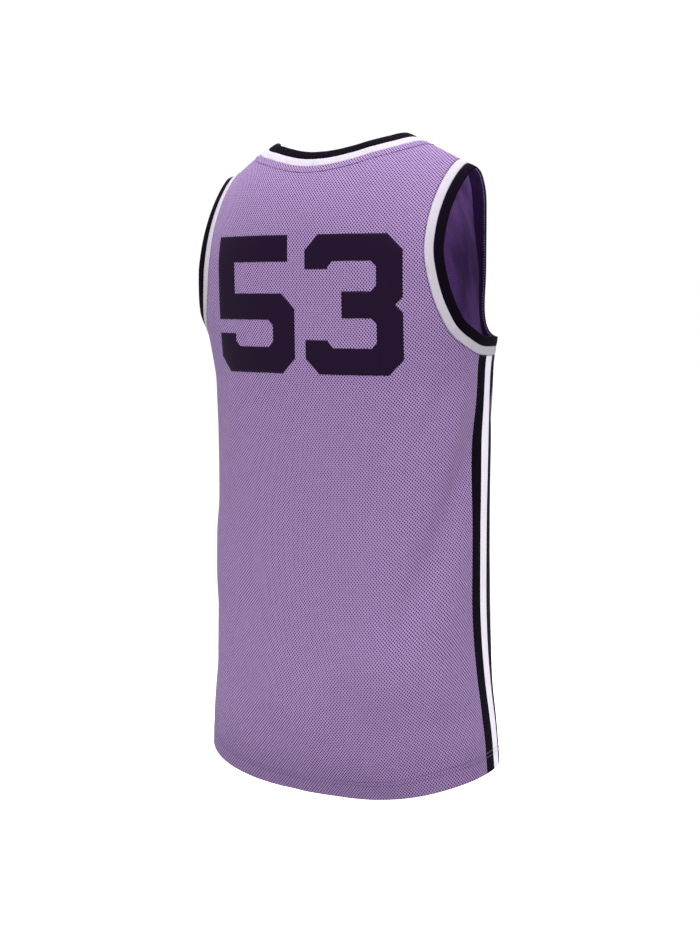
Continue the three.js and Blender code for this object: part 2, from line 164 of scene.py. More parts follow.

# %% [markdown]
# ## Folds
#
# A loose jersey on a body shows a few long, soft folds: they run down from the underarm, gather
# a little at the small of the back and open again toward the hem. Each is a ridge or a trough
# along a line. The first table holds the folds of the frame; its last two tuck the hem in under
# the body, behind and in front. The second holds those that only the looks need: small ones all
# round, and two soft swells low on the back, where the tail hangs clear.
# Turns are degrees round from the centre back, and negative ones are on the wearer's right.

# %% Large and small folds
LARGE_FOLDS = measures(
    "from_turn from_height to_turn to_height width depth",
    (-88, -300, -60, -515, 20, -7),
    (-34, -420, -52, -620, 34, 2.5),
    (72, -420, 66, -520, 26, 3),
    (50, -590, 14, -700, 34, -3.5),
    (-58, -585, -16, -572, 46, 5),
    (-76, -625, -62, -705, 34, -6),
    (122, -290, 148, -470, 32, -4),
    (-128, -330, -150, -560, 34, -3.5),
    (176, -450, 150, -690, 40, 3),
    (-170, -560, -140, -700, 34, -3),
    (-62, -762, 56, -762, 70, -15),
    (130, -750, 230, -750, 54, -10),
)
SMALL_FOLDS = measures(
    "from_turn from_height to_turn to_height width depth",
    (-74, -246, -58, -330, 9, -1.6),
    (-80, -262, -70, -420, 8, 1.1),
    (-52, -300, -36, -440, 13, -1.2),
    (-62, -440, -50, -585, 11, -1.5),
    (-72, -500, -66, -650, 8, 1.0),
    (-30, -560, -22, -690, 14, -1.1),
    (-8, -600, 4, -705, 13, 1.2),
    (20, -250, 34, -400, 17, -0.9),
    (46, -240, 58, -380, 11, 1.3),
    (70, -250, 60, -330, 9, -1.5),
    (76, -560, 62, -690, 12, -1.4),
    (34, -430, 44, -560, 14, -1.0),
    (104, -262, 116, -350, 9, -1.6),
    (112, -420, 104, -560, 12, 1.4),
    (134, -560, 128, -690, 13, -1.5),
    (158, -200, 150, -330, 15, -1.2),
    (170, -330, 178, -470, 13, 1.1),
    (-104, -258, -118, -360, 9, -1.7),
    (-114, -450, -106, -600, 11, 1.3),
    (-160, -190, -152, -320, 16, -1.2),
    (-140, -620, -134, -705, 12, 1.4),
    (-178, -360, -166, -500, 14, -1.1),
    (-135, -70, -139, -150, 7, 2.6),
    (-127, -75, -131, -215, 8, -2.4),
    (-144, -84, -137, -104, 6, -1.6),
    (-143, -150, -134, -232, 8, 2.2),
    (-149, -105, -148, -205, 9, -2.3),
    (133, -80, 138, -190, 9, -2.0),
    (146, -110, 141, -228, 11, 1.7),
    (-96, -300, -88, -395, 8, -1.0),
    (-66, -268, -50, -360, 10, 1.2),
    (-44, -640, -20, -708, 14, -1.3),
    (-84, -315, -60, -508, 12, -1.6),
    (48, -618, -30, -622, 56, 6),
    (-38, -602, -64, -560, 44, 3),
    (-60, -716, 54, -716, 18, -2.5),
)


def fold_height(folds, turn, height):
    """Sum of the folds of a table at places on the cloth."""
    total = np.zeros(np.broadcast(turn, height).shape)
    round_it = 2 * np.pi * FOLD_RADIUS
    for k in range(len(folds["depth"])):
        ends = np.radians([folds["from_turn"][k], folds["to_turn"][k]]) * FOLD_RADIUS
        heights = folds["from_height"][k], folds["to_height"][k]
        line = ends[1] - ends[0], heights[1] - heights[0]
        x = (turn * FOLD_RADIUS - ends.mean() + round_it / 2) % round_it - round_it / 2
        y = height - sum(heights) / 2
        along = 2 * (x * line[0] + y * line[1]) / (line[0] ** 2 + line[1] ** 2)
        across = (x * line[1] - y * line[0]) / math.hypot(*line) / folds["width"][k]
        total += folds["depth"][k] * np.exp(-across ** 2 - along ** 4)
    return total


print("large folds", len(LARGE_FOLDS["depth"]), "small folds", len(SMALL_FOLDS["depth"]))

# %% [markdown]
# ## From rings to a sheet
#
# A place on the cloth is a turn round the body and a rise. Below the armpit the rise is a height
# on a ring, which is a rounded oblong. Above it each column of cloth arches over to the shoulder
# line. Toward the hem the tail pulls the cloth down at the centre, and not at the sides.

# %% The worn surface
ARCH_BASE, ARCH_RISE_BACK, ARCH_DROP_FRONT = -145, 40, 25
RIDGE_RISE = 40
HEM_RISE = -706.5
HEM_DROP_BACK, HEM_DROP_FRONT, HEM_DROP_STARTS = 29, 18, -440
LEFT_SHOULDER_DROP, LEFT_SHOULDER_RANGE = 3.5, (40, 100)
QUARTER = math.pi / 2
SLOPE_STEP = 1
RIDGE_SLOPE_STEP = 4


def between(a, b, t):
    return a + (b - a) * t


def smooth_share(x, low, high):
    t = np.clip((x - low) / (high - low), 0, 1)
    return t * t * (3 - 2 * t)


def ring_depth(turn, height):
    return np.where(np.cos(turn) > 0, ring_measure("back", height), ring_measure("front", height))


def ring_radius(turn, height):
    return (np.abs(np.cos(turn) / ring_depth(turn, height)) ** RING_SQUARENESS
            + np.abs(np.sin(turn) / ring_measure("half_width", height)) ** RING_SQUARENESS
            ) ** (-1 / RING_SQUARENESS)


def ring_point(turn, height):
    radius = ring_radius(turn, height) + fold_height(LARGE_FOLDS, turn, height)
    y = ring_measure("middle", height) + radius * np.cos(turn)
    return np.stack([radius * np.sin(turn), y, height + 0 * turn], -1)


def arch_base(turn):
    facing = np.cos(turn)
    return ARCH_BASE + np.where(facing > 0, ARCH_RISE_BACK, -ARCH_DROP_FRONT) * facing ** 2


def hem_drop(turn, rise):
    reach = np.abs(ring_radius(turn, rise) * np.cos(turn)) / ring_depth(turn, rise)
    share = smooth_share(HEM_DROP_STARTS - rise, 0, HEM_DROP_STARTS - HEM_RISE)
    drop = np.where(np.cos(turn) > 0, HEM_DROP_BACK, HEM_DROP_FRONT)
    return drop * reach ** RING_SQUARENESS * share


def ridge_height(x):
    """Height of the shoulder line. The wearer's left shoulder hangs a little lower."""
    return (shoulder_measure("ridge", np.abs(x))
            - LEFT_SHOULDER_DROP * smooth_share(x, *LEFT_SHOULDER_RANGE))


def worn_point(turn, rise):
    """Points of the worn cloth, before its small folds."""
    turn, rise = np.broadcast_arrays(np.asarray(turn, float), np.asarray(rise, float))
    base = arch_base(turn)
    ring_rise = np.minimum(rise, base)
    low = ring_point(turn, ring_rise - hem_drop(turn, ring_rise))
    foot = ring_point(turn, base)
    behind = np.cos(turn) > 0
    out = np.abs(foot[..., 0])
    climb = np.sin(np.clip((rise - base) / (RIDGE_RISE - base), 0, 1) * QUARTER)
    left = 1 - climb ** 2
    rounding = np.where(behind, shoulder_measure("back_round", out),
                        shoulder_measure("front_round", out))
    hollow = np.where(behind, 0, shoulder_measure("front_hollow", out))
    reach = left ** rounding - hollow * climb ** 2 * left
    y = between(-shoulder_measure("forward", out), foot[..., 1], reach)
    z = between(base, ridge_height(foot[..., 0]), climb)
    arch = np.stack([foot[..., 0], y, z], -1)
    return np.where((rise > base)[..., None], arch, low)


def unit(v):
    return v / np.maximum(np.linalg.norm(v, axis=-1, keepdims=True), 1e-12)


def worn_normal(turn, rise):
    """Outward directions of the cloth. On the shoulder line they follow its slope."""
    turn, rise = np.broadcast_arrays(np.asarray(turn, float), np.asarray(rise, float))
    step = SLOPE_STEP / FOLD_RADIUS
    across = worn_point(turn + step, rise) - worn_point(turn - step, rise)
    top = np.minimum(rise + SLOPE_STEP, RIDGE_RISE)
    up = worn_point(turn, top) - worn_point(turn, rise - SLOPE_STEP)
    out = ring_point(turn, arch_base(turn))[..., 0]
    ridge = [ridge_height(out + s * RIDGE_SLOPE_STEP) for s in (-1, 1)]
    on_ridge = np.stack([ridge[0] - ridge[1], 0 * out, 0 * out + 2 * RIDGE_SLOPE_STEP], -1)
    on_line = (rise > RIDGE_RISE - SLOPE_STEP)[..., None]
    return np.where(on_line, unit(on_ridge), unit(np.cross(up, across)))


print("hem at the centre back", worn_point(0.0, HEM_RISE).round(1), "mm")

# %% [markdown]
# ## Seam lines
#
# The neck and armhole seams are drawn as a pattern cutter does, by a few points that a soft
# curve joins. The curve is a Catmull-Rom spline with centripetal spacing, the same one that the
# frame uses, so the fine pieces meet where the solids do.

# %% Seams of the neck and the armholes
ARMHOLE_BACK = measures(
    "out height",
    (146.6, -14.6), (143, -30), (141, -55), (139.7, -88),
    (140.6, -121), (145.6, -152), (153.8, -183), (163, -207),
)
UNDERARM = [(1.5, -226), (1.75, -229.5)]
ARMHOLE_FRONT = measures(
    "out height",
    (146.6, -14.6), (139, -36), (128.5, -68), (121.5, -105),
    (119.5, -145), (121, -182), (129, -211), (147, -228),
)
NECK_BACK = measures(
    "out height",
    (108.5, 6.1), (95, 1.5), (77, -5.5), (58, -11.5), (38, -17), (18, -20.5), (0, -21.5),
)
NECK_FRONT = measures(
    "out height",
    (108.5, 6.1), (105, -14), (98, -42), (83, -69), (62, -92), (33, -107), (0, -112),
)
RIDGE_CLIMB = 0.995
HALVINGS = 40


def place_on_cloth(out, height, face):
    """Turn and rise of points given by their distance from the centre plane and their height."""
    low = np.full(out.shape, 0 if face == BACK else QUARTER)
    high = low + QUARTER
    for _ in range(HALVINGS):
        middle = (low + high) / 2
        too_wide = ring_point(middle, np.minimum(height, arch_base(middle)))[..., 0] > out
        go_down = too_wide == (face == BACK)
        high, low = np.where(go_down, middle, high), np.where(go_down, low, middle)
    turn = (low + high) / 2
    base = arch_base(turn)
    climb = (height - base) / (shoulder_measure("ridge", out) - base)
    sweep = np.where(climb > RIDGE_CLIMB, 1, np.arcsin(np.clip(climb, 0, 1)) / QUARTER)
    rise = np.where(height <= base, height, base + (RIDGE_RISE - base) * sweep)
    return np.stack([turn, rise], -1)


def seam_line(places):
    """A smooth curve on the flat map through places given as turn and rise."""
    points = places * (FOLD_RADIUS, 1)
    ends = 2 * points[0] - points[1], 2 * points[-1] - points[-2]
    padded = np.vstack([ends[:1], points, ends[1:]])
    gaps = np.maximum(np.sum(np.diff(padded, axis=0) ** 2, axis=1) ** 0.25, 1e-4)

    def at(u):
        spot = np.clip(np.asarray(u, float), 0, 1) * (len(points) - 1)
        i = np.minimum(spot.astype(int), len(points) - 2)
        t = (spot - i)[..., None]
        p = [padded[i + k] for k in range(4)]
        g = [gaps[i + k][..., None] for k in range(3)]
        start = ((p[1] - p[0]) / g[0] - (p[2] - p[0]) / (g[0] + g[1]) + (p[2] - p[1]) / g[1]) * g[1]
        stop = ((p[2] - p[1]) / g[1] - (p[3] - p[1]) / (g[1] + g[2]) + (p[3] - p[2]) / g[2]) * g[1]
        curve = (p[1] + start * t + (-3 * p[1] + 3 * p[2] - 2 * start - stop) * t ** 2
                 + (2 * p[1] - 2 * p[2] + start + stop) * t ** 3)
        return curve / (FOLD_RADIUS, 1)

    return at


def places(rows, face):
    return place_on_cloth(rows["out"], rows["height"], face)


armhole_seam = seam_line(np.vstack([
    places(ARMHOLE_BACK, BACK), UNDERARM, places(ARMHOLE_FRONT, FRONT)[::-1]]))
neck_seam = {
    BACK: seam_line(places(NECK_BACK, BACK)[::-1]),
    FRONT: seam_line(places(NECK_FRONT, FRONT)[::-1]),
}
print("shoulder seam from", armhole_seam(0.0).round(3), "to", neck_seam[BACK](1.0).round(3))

# %% [markdown]
# ## Where the stripes run
#
# The three stripes are straight strips sewn between back and front. They are a little in front
# of the side line, and drift forward below the armhole and near the hem, as in the photo. The
# pieces stand only a hair apart at their seams, so that no light comes through.

# %% Stripe lines
STRIPE_EDGES = [-13, 7, 27, 47]
STRIPE_TOP_DRIFT, STRIPE_TOP_RISES = 8, (-430, -260)
STRIPE_HEM_DRIFT, STRIPE_HEM_RISES = 16, (500, 680)
SIDE_RADIUS = 172
SEAM_GAP = 0.04
STRIPE_TOP_RANGE = 0.2, 0.8
HALF_GAP_TURN = SEAM_GAP / 2 / SIDE_RADIUS


def stripe_turn(edge, rise):
    """Turn of a seam beside a stripe. Edge 0 is the back panel's seam and edge 3 the front's."""
    drift = (STRIPE_TOP_DRIFT * smooth_share(rise, *STRIPE_TOP_RISES)
             + STRIPE_HEM_DRIFT * smooth_share(-rise, *STRIPE_HEM_RISES))
    return QUARTER + (STRIPE_EDGES[edge] + drift) / SIDE_RADIUS


def stripe_top(edge):
    """Place along the armhole's seam where a seam beside a stripe ends."""
    low, high = STRIPE_TOP_RANGE
    for _ in range(HALVINGS):
        middle = (low + high) / 2
        turn, rise = armhole_seam(middle)
        low, high = (low, middle) if turn > stripe_turn(edge, rise) else (middle, high)
    return (low + high) / 2


stripe_tops = [stripe_top(edge) for edge in range(len(STRIPE_EDGES))]
print("stripes meet the armhole at", [round(u, 3) for u in stripe_tops])

# %% [markdown]
# ## The flat map
#
# Mesh fabric is knitted flat, so its pattern of holes must follow lengths along the cloth and
# not the shape of space. The whole surface is walked once in small steps, round and up, and the
# lengths are kept. Every piece then reads its UV coordinates from them: real metres of cloth
# from its own centre line and from the hem.

# %% Lengths along the cloth
FLAT_TURNS, FLAT_RISES = 721, 373
flat_turn = np.linspace(-np.pi, np.pi, FLAT_TURNS)
flat_rise = np.linspace(HEM_RISE, RIDGE_RISE, FLAT_RISES)
flat_points = worn_point(flat_turn[None], flat_rise[:, None])


def walked(axis):
    steps = np.linalg.norm(np.diff(flat_points, axis=axis), axis=-1)
    return np.insert(np.cumsum(steps, axis=axis), 0, 0, axis=axis)


round_length = walked(1)
round_length = round_length - round_length[:, [FLAT_TURNS // 2]]
up_length = walked(0)


def read_grid(grid, turn, rise):
    x = np.clip((turn + np.pi) / (2 * np.pi) * (FLAT_TURNS - 1), 0, FLAT_TURNS - 1.001)
    y = np.clip((rise - HEM_RISE) / (RIDGE_RISE - HEM_RISE) * (FLAT_RISES - 1),
                0, FLAT_RISES - 1.001)
    i, j = x.astype(int), y.astype(int)
    below, above = (between(grid[row, i], grid[row, i + 1], x - i) for row in (j, j + 1))
    return between(below, above, y - j)


def flat_place(turn, rise, centre_turn=0.0):
    """Cloth lengths from a centre line and from the hem, in metres."""
    turn, rise = np.broadcast_arrays(turn, rise)
    centre = read_grid(round_length, 0 * turn + centre_turn, rise)
    across = read_grid(round_length, turn, rise) - centre
    return np.stack([across, read_grid(up_length, turn, rise)], -1) * MM


print("once round the hem", round(float(np.ptp(round_length[0]))), "mm of cloth")

# %% [markdown]
# ## Small folds, and the cloth at any place
#
# The small folds and a very faint unevenness lift the cloth along its own direction. They fade
# out at the shoulders, where the cloth lies on the body.

# %% Cloth with its small folds
WAVES = measures(
    "around up phase height",
    (5, 0.011, 0.4, 0.28),
    (8, -0.017, 2.1, 0.22),
    (13, 0.023, 4.4, 0.14),
    (21, -0.031, 1.2, 0.09),
)
RELIEF_FADES = -100, 0


def small_relief(turn, rise):
    relief = fold_height(SMALL_FOLDS, turn, rise)
    for around, up, phase, height in zip(*WAVES.values()):
        relief = relief + height * np.sin(around * turn + up * rise + phase)
    return relief * (1 - smooth_share(rise, *RELIEF_FADES))


def cloth(turn, rise, sign=1):
    """Points and outward directions of the cloth, on the wearer's left (sign 1) or right (-1)."""
    turn = np.asarray(turn, float) * sign
    normal = worn_normal(turn, rise)
    return worn_point(turn, rise) + normal * small_relief(turn, rise)[..., None], normal


sampled_relief = small_relief(flat_turn[None], flat_rise[:, None])
print("small relief", sampled_relief.min().round(2), "to", sampled_relief.max().round(2), "mm")

# %% [markdown]
# ## A wall of cloth
#
# Cloth is thin, but it isn't paper: it has an outer face, an inner face, and an edge that rounds
# over. Blender's Solidify modifier would give square edges and one material all over. Here both
# faces are written directly: each point knows how far it is from the nearest edge, and near an
# edge the two faces close in on each other in a half round. At a seam that leaves the small
# groove that a real seam shows.

# %% Cloth walls from grids
def edge_round(distance, thickness):
    """How far a face has closed in at a distance from the edge of the cloth."""
    radius = thickness / 2
    return radius - np.sqrt(np.maximum(radius ** 2 - np.clip(radius - distance, 0, radius) ** 2, 0))


def open_edges(cells):
    """Edges used by only one cell, in that cell's order."""
    pairs = np.concatenate([np.roll(cells, -k, axis=1)[:, :2] for k in range(4)])
    key = pairs.min(1) * (cells.max() + 1) + pairs.max(1)
    _, first, uses = np.unique(key, return_index=True, return_counts=True)
    return pairs[first[uses == 1]]


def cloth_wall(name, outer, inner, cells, uv, materials):
    """A closed wall: outer face, inner face and rims, with a UV map of real cloth lengths."""
    count = len(outer)
    rim = open_edges(cells)
    faces = np.concatenate([
        cells,
        cells[:, ::-1] + count,
        np.stack([rim[:, 0], rim[:, 0] + count, rim[:, 1] + count, rim[:, 1]], 1)[:, ::-1],
    ])
    mesh = bpy.data.meshes.new(name)
    mesh.from_pydata((np.vstack([outer, inner]) * MM).tolist(), [], faces.tolist())
    layer = mesh.uv_layers.new(name="cloth")
    corner_vertex = np.empty(len(mesh.loops), np.int32)
    mesh.loops.foreach_get("vertex_index", corner_vertex)
    layer.uv.foreach_set("vector", uv[corner_vertex % count].astype(np.float32).ravel())
    for material in materials:
        mesh.materials.append(material)
    index = np.zeros(len(faces), np.int32)
    index[len(cells):2 * len(cells)] = len(materials) - 1
    mesh.polygons.foreach_set("material_index", index)
    mesh.shade_smooth()
    return add_object(name, mesh)


def grid_cells(index, turned=False):
    """Four-sided cells of a grid of point numbers."""
    corners = index[:-1, :-1], index[1:, :-1], index[1:, 1:], index[:-1, 1:]
    cells = np.stack(corners, -1).reshape(-1, 4)
    return cells[:, ::-1] if turned else cells


def area_of(piece):
    """Area of a piece's cloth, which is half that of its two faces."""
    return sum(polygon.area for polygon in piece.data.polygons) / 2


print("a 1 mm edge closes in by", edge_round(np.array([0.0, 0.12, 0.35]), 1.0).round(2), "mm")

# %% [markdown]
# ## The mesh fabric
#
# Basketball mesh is a double knit: a lavender face with rows of eyelets, over a deep purple
# back. The eyelets of one row sit between those of the next. Two cosines multiplied give just
# that lattice, so the eyelets can be drawn from the flat map at their real 3.5 by 4.2 mm, with
# no image. The same numbers press the eyelets into the surface with a bump, and a finer wave
# along the rows gives the stitches of the knit. Where the hem is sewn, the two rows of stitches
# pull the cloth into narrow grooves, which are a bump and painted shade too. A painted shadow
# runs along the hem's folded edge, and painted shade grows toward the hem over the lowest seven
# centimetres, where the cloth tucks under. The inner face is the smooth back of the knit, with a
# shine; its long soft streaks are painted shade of soft folds.

# %% Node helpers
def new_material(name, colour, roughness, sheen=0.0, specular=0.06):
    material = bpy.data.materials.new(name)
    material.use_nodes = True
    shader = material.node_tree.nodes["Principled BSDF"]
    shader.inputs["Base Color"].default_value = (*colour, 1)
    shader.inputs["Roughness"].default_value = roughness
    shader.inputs["Sheen Weight"].default_value = sheen
    shader.inputs["Specular IOR Level"].default_value = specular
    return material, shader


class Nodes:
    """Short names for the few node kinds that the fabrics use."""

    def __init__(self, material):
        self.tree = material.node_tree

    def put(self, value, socket):
        if isinstance(value, bpy.types.NodeSocket):
            self.tree.links.new(value, socket)
        else:
            socket.default_value = value

    def math(self, operation, *values):
        node = self.tree.nodes.new("ShaderNodeMath")
        node.operation = operation
        for value, socket in zip(values, node.inputs):
            self.put(value, socket)
        return node.outputs[0]

    def cloth_lengths(self):
        uv = self.tree.nodes.new("ShaderNodeUVMap")
        uv.uv_map = "cloth"
        split = self.tree.nodes.new("ShaderNodeSeparateXYZ")
        self.tree.links.new(uv.outputs[0], split.inputs[0])
        return split.outputs[0], split.outputs[1], uv.outputs[0]

    def wave(self, length, pitch):
        return self.math("COSINE", self.math("MULTIPLY", length, 2 * math.pi / pitch))

    def remap(self, value, low, high, to_low=0.0, to_high=1.0):
        node = self.tree.nodes.new("ShaderNodeMapRange")
        node.interpolation_type = "SMOOTHSTEP"
        for socket, x in zip(node.inputs, (value, low, high, to_low, to_high)):
            self.put(x, socket)
        return node.outputs[0]

    def noise(self, vector, scale, detail=2):
        node = self.tree.nodes.new("ShaderNodeTexNoise")
        self.put(vector, node.inputs["Vector"])
        node.inputs["Scale"].default_value = scale
        node.inputs["Detail"].default_value = detail
        return node.outputs[0]

    def mix(self, share, a, b):
        node = self.tree.nodes.new("ShaderNodeMix")
        node.data_type = "RGBA"
        self.put(share, node.inputs[0])
        for socket, value in zip(node.inputs[6:8], (a, b)):
            self.put(value if isinstance(value, bpy.types.NodeSocket) else (*value, 1), socket)
        return node.outputs[2]

    def bump(self, height, distance, shader):
        node = self.tree.nodes.new("ShaderNodeBump")
        node.inputs["Strength"].default_value = 1.0
        node.inputs["Distance"].default_value = distance
        self.put(height, node.inputs["Height"])
        self.tree.links.new(node.outputs[0], shader.inputs["Normal"])


def srgb(red, green, blue):
    """A colour as read from a picture, in the linear values that Blender uses."""
    shares = red / 255, green / 255, blue / 255
    return tuple(c / 12.92 if c <= 0.04045 else ((c + 0.055) / 1.055) ** 2.4 for c in shares)


print("a middle grey is", round(srgb(128, 128, 128)[0], 3), "in linear light")

# %% Mesh fabric, its face and its back
EYELET_ACROSS, EYELET_UP = 3.5 * MM, 4.2 * MM
STITCH_UP = 0.82 * MM
HEM_ROWS = 18.5, 23.3
HEM_GROOVE = 0.9 * MM
HEM_FOLD_SHADOW = 0.2 * MM, 1.3 * MM
HEM_SHADE, HEM_SHADE_FADE = 0.19, (12 * MM, 72 * MM)
FOLD_SHADE_SCALE, FOLD_SHADE_STRETCH, FOLD_SHADE_RANGE = 42, 0.22, (0.38, 0.66)
PATCH_SCALE, FIBRE_SCALE = 110, 1500


def eyelet_lattice(n, across, up):
    """1 in the middle of every eyelet, 0 and less between them."""
    return n.math("MULTIPLY", n.wave(across, EYELET_ACROSS), n.wave(up, EYELET_UP))


def hem_groove(n, up):
    """1 along the two rows of hem stitches and 0 elsewhere."""
    middle, spread = sum(HEM_ROWS) / 2 * MM, (HEM_ROWS[1] - HEM_ROWS[0]) / 2 * MM
    from_middle = n.math("ABSOLUTE", n.math("SUBTRACT", up, middle))
    from_row = n.math("ABSOLUTE", n.math("SUBTRACT", from_middle, spread))
    return n.remap(from_row, 0.0, HEM_GROOVE, 1.0, 0.0)


def painted_fold_shade(n, across, up):
    """Painted shade of soft folds that run up the cloth, 1 in the darkest."""
    join = n.tree.nodes.new("ShaderNodeCombineXYZ")
    n.put(across, join.inputs[0])
    n.put(n.math("MULTIPLY", up, FOLD_SHADE_STRETCH), join.inputs[1])
    return n.remap(n.noise(join.outputs[0], FOLD_SHADE_SCALE), *FOLD_SHADE_RANGE)


def mesh_fabric(name, yarn, shade, eyelet, roughness, sheen, eyelet_share, depth, streaks=0.0):
    material, shader = new_material(name, yarn, roughness, sheen)
    n = Nodes(material)
    across, up, place = n.cloth_lengths()
    lattice = eyelet_lattice(n, across, up)
    hole = n.remap(lattice, *eyelet_share)
    patch = n.math("MULTIPLY", n.noise(place, PATCH_SCALE, 3), 0.4)
    fibre = n.math("MULTIPLY", n.noise(place, FIBRE_SCALE, 1), 0.6)
    mottled = n.mix(n.remap(n.math("ADD", patch, fibre), 0.3, 0.7), shade, yarn)
    # Painted shade of soft folds on the inner face, as long streaks toward the eyelet colour.
    if streaks:
        mottled = n.mix(n.math("MULTIPLY", painted_fold_shade(n, across, up), streaks), mottled, eyelet)
    groove = hem_groove(n, up)
    # Painted shade: in the two stitch grooves, a painted shadow along the hem's folded edge, and
    # painted shade that grows toward the hem.
    painted_hem_shade = n.remap(up, *HEM_SHADE_FADE, HEM_SHADE, 0.0)
    fold_shadow = n.remap(up, *HEM_FOLD_SHADOW, 0.6, 0.0)
    groove_and_edge_shade = n.math("MAXIMUM", n.math("MULTIPLY", groove, 0.5), fold_shadow)
    painted_shade = n.math("MAXIMUM", groove_and_edge_shade, painted_hem_shade)
    n.put(n.mix(painted_shade, n.mix(hole, mottled, eyelet), eyelet), shader.inputs["Base Color"])
    stitches = n.math("MULTIPLY", n.wave(up, STITCH_UP), n.wave(across, EYELET_ACROSS / 4))
    relief = n.math("ADD", n.math("MULTIPLY", lattice, -0.5), n.math("MULTIPLY", stitches, 0.06))
    n.bump(n.math("ADD", relief, n.math("MULTIPLY", groove, -0.6)), depth, shader)
    return material


lavender_mesh = mesh_fabric(
    "lavender_mesh", srgb(133, 109, 150), srgb(126, 102, 143), srgb(27, 12, 41),
    roughness=0.8, sheen=0.03, eyelet_share=(-0.05, 0.5), depth=0.7 * MM)
violet_back = mesh_fabric(
    "violet_back", srgb(124, 85, 158), srgb(110, 72, 142), srgb(34, 14, 50),
    roughness=0.42, sheen=0.15, eyelet_share=(0.2, 0.95), depth=0.3 * MM, streaks=0.6)
print("eyelets", EYELET_ACROSS / MM, "by", EYELET_UP / MM, "mm")

# %% [markdown]
# ## Knit bands
#
# Neck and armhole bands are a dense flat knit. Close up it shows fine wales across the band and
# a soft, even shine. The stripes down the sides are the same knit, with the wales running up.
# The bands are lined with a violet knit, so the wearer's side of an armhole shows no white. The
# white strips at the sides are a lighter copy of the same white knit: painted light, because the
# sides get less light than the bands.

# %% Dark, white and violet knit
WALE = 1.1 * MM
COURSE = 0.8 * MM
KNIT_RELIEF = 0.12 * MM


def band_knit(name, yarn, shade, roughness, specular=0.03):
    material, shader = new_material(name, yarn, roughness, specular=specular)
    n = Nodes(material)
    across, up, place = n.cloth_lengths()
    wale = n.wave(up, WALE)
    course = n.math("MULTIPLY", n.wave(across, COURSE), wale)
    patch = n.noise(place, 60)
    # Painted shade in the hollows between the wales, with random tone from the noise.
    wale_shade_and_tone = n.math("ADD", n.math("MULTIPLY", wale, 0.25), n.math("MULTIPLY", patch, 0.9))
    n.put(n.mix(n.remap(wale_shade_and_tone, 0.1, 0.8), shade, yarn), shader.inputs["Base Color"])
    n.bump(n.math("ADD", wale, n.math("MULTIPLY", course, 0.5)), KNIT_RELIEF, shader)
    return material


dark_knit = band_knit("dark_knit", srgb(10, 5, 16), srgb(6, 3, 10), 0.7, specular=0.01)
white_knit = band_knit("white_knit", srgb(156, 151, 160), srgb(148, 143, 153), 0.8)
# Painted light: the strips at the sides get a lighter copy of the white knit of the bands.
white_knit_painted_light = band_knit("white_knit_painted_light", srgb(204, 198, 209), srgb(196, 190, 201), 0.8)
violet_knit = band_knit("violet_knit", srgb(50, 28, 72), srgb(38, 20, 56), 0.6)
print("wales", WALE / MM, "mm and courses", COURSE / MM, "mm apart")

# %% [markdown]
# ## Back and front
#
# A panel is a grid of cloth between its centre line and its outer seam, once for each side of
# the body, and the two share their points down the centre up to the neck. Rows and columns
# crowd together beside seams and at the hem, because the rounded edges need them. The hem is
# turned up inside, so the wall is twice as thick there.

# %% Grid of a panel
MESH_CLOTH = 1.0
HEM_CLOTH = 2.0
HEM_DEPTH, HEM_STEP = 25, 3
CHEST_START = -258
BODY_ROWS, CHEST_ROWS, STRAP_ROWS, HALF_COLUMNS = 112, 40, 40, 62
BODY_LENGTH, STRAP_LENGTH = 450.0, 150.0
EDGE_STEPS = np.array([0, 0.12, 0.35, 0.8, 2.0, 4.0])
ROUND_STEPS = EDGE_STEPS[:4]


def crowded(length, steps):
    """Shares from 0 to 1 along a length, evenly spaced but crowded at both ends."""
    near = EDGE_STEPS[:, None] + 0 * length
    even = np.linspace(EDGE_STEPS[-1], length - EDGE_STEPS[-1], steps)[1:-1]
    return (np.concatenate([near, even, length - near[::-1]]) / length).T


def panel_lines(face):
    """Inner and outer ends of the rows of a panel on the wearer's left, as turn and rise."""
    centre_turn, edge, shoulder = (0.0, 0, 0.0) if face == BACK else (math.pi, 3, 1.0)
    body = crowded(np.array([BODY_LENGTH]), BODY_ROWS)[0][:-len(EDGE_STEPS) + 1]
    body = body / body[-1]
    top = stripe_tops[edge]
    underarm = armhole_seam(top)
    outer_rise = between(HEM_RISE, underarm[1], body)
    inner_rise = between(HEM_RISE, CHEST_START, body)
    outer = [np.stack([stripe_turn(edge, outer_rise) - face * HALF_GAP_TURN, outer_rise], -1)]
    inner = [np.stack([0 * inner_rise + centre_turn, inner_rise], -1)]
    chest = np.linspace(0, 1, CHEST_ROWS + 1)[1:]
    chest_rise = between(CHEST_START, neck_seam[face](0.0)[1], chest)
    inner.append(np.stack([0 * chest + centre_turn, chest_rise], -1))
    strap = crowded(np.array([STRAP_LENGTH]), STRAP_ROWS)[0][len(EDGE_STEPS):]
    inner.append(neck_seam[face](strap))
    arm = np.concatenate([chest / 2, 0.5 + strap / 2])
    outer.append(armhole_seam(between(top, shoulder, arm)))
    joined = len(body) + len(chest)
    return np.vstack(inner), np.vstack(outer), joined


def panel_grid(face, sign):
    """Places, points, directions and lengths from the inner end, of all rows of half a panel."""
    inner, outer, joined = panel_lines(face)
    a, b = cloth(*inner.T)[0], cloth(*outer.T)[0]
    length = np.linalg.norm(a - b, axis=-1)
    shares = crowded(length, HALF_COLUMNS)[..., None]
    place = between(inner[:, None], outer[:, None], shares)
    points, normals = cloth(place[..., 0], place[..., 1], sign)
    return place, points, normals, length[:, None] * shares[..., 0], joined


def lengths_from_hem(points):
    """Lengths up the columns of a grid, and how far its points are from hem or top."""
    along = np.linalg.norm(np.diff(points, axis=0), axis=-1)
    from_hem = np.insert(np.cumsum(along, axis=0), 0, 0, axis=0)
    return from_hem, np.minimum(from_hem, from_hem[-1] - from_hem)


